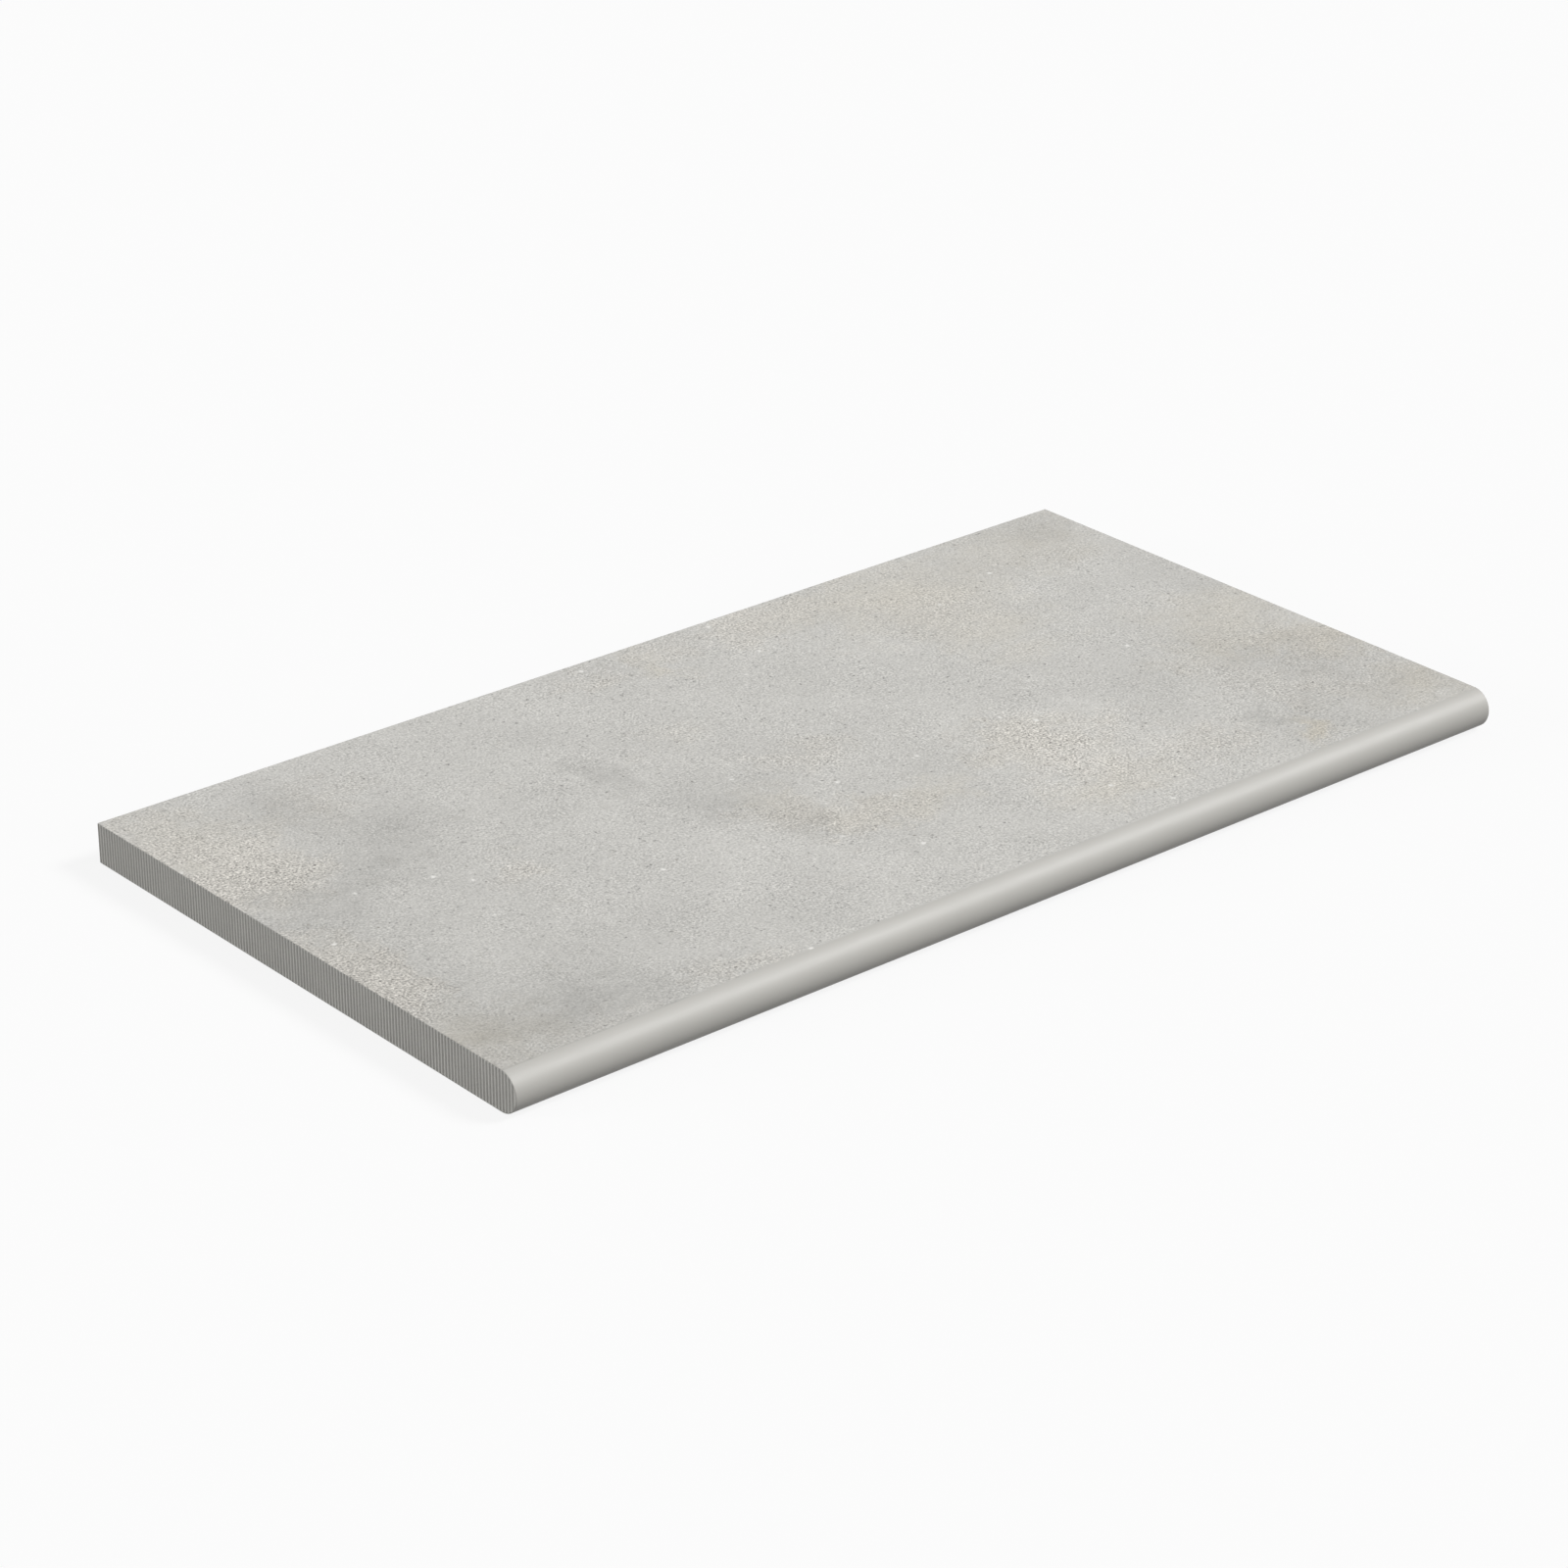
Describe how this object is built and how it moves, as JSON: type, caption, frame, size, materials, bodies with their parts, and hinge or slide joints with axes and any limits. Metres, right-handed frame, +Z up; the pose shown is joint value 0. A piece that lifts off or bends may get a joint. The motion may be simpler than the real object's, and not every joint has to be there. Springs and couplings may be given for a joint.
{
  "type": "bullnose pool coping stone",
  "caption": "Flat rectangular porcelain paving slab with a full half-round nose along its pool side, bedded flat as the coping of a swimming pool.",
  "frame": {"origin": "on the bedding plane, under the middle of the slab's length and width", "axes": "+X along the pool edge, +Y from the nose towards the back edge, +Z up, out of the walking face"},
  "size_m": [0.6, 0.318, 0.0205],
  "materials": {
    "porcelain": "matte"
  },
  "bodies": {
    "root": {"coping_stone": "porcelain"}
  },
  "joints": []
}
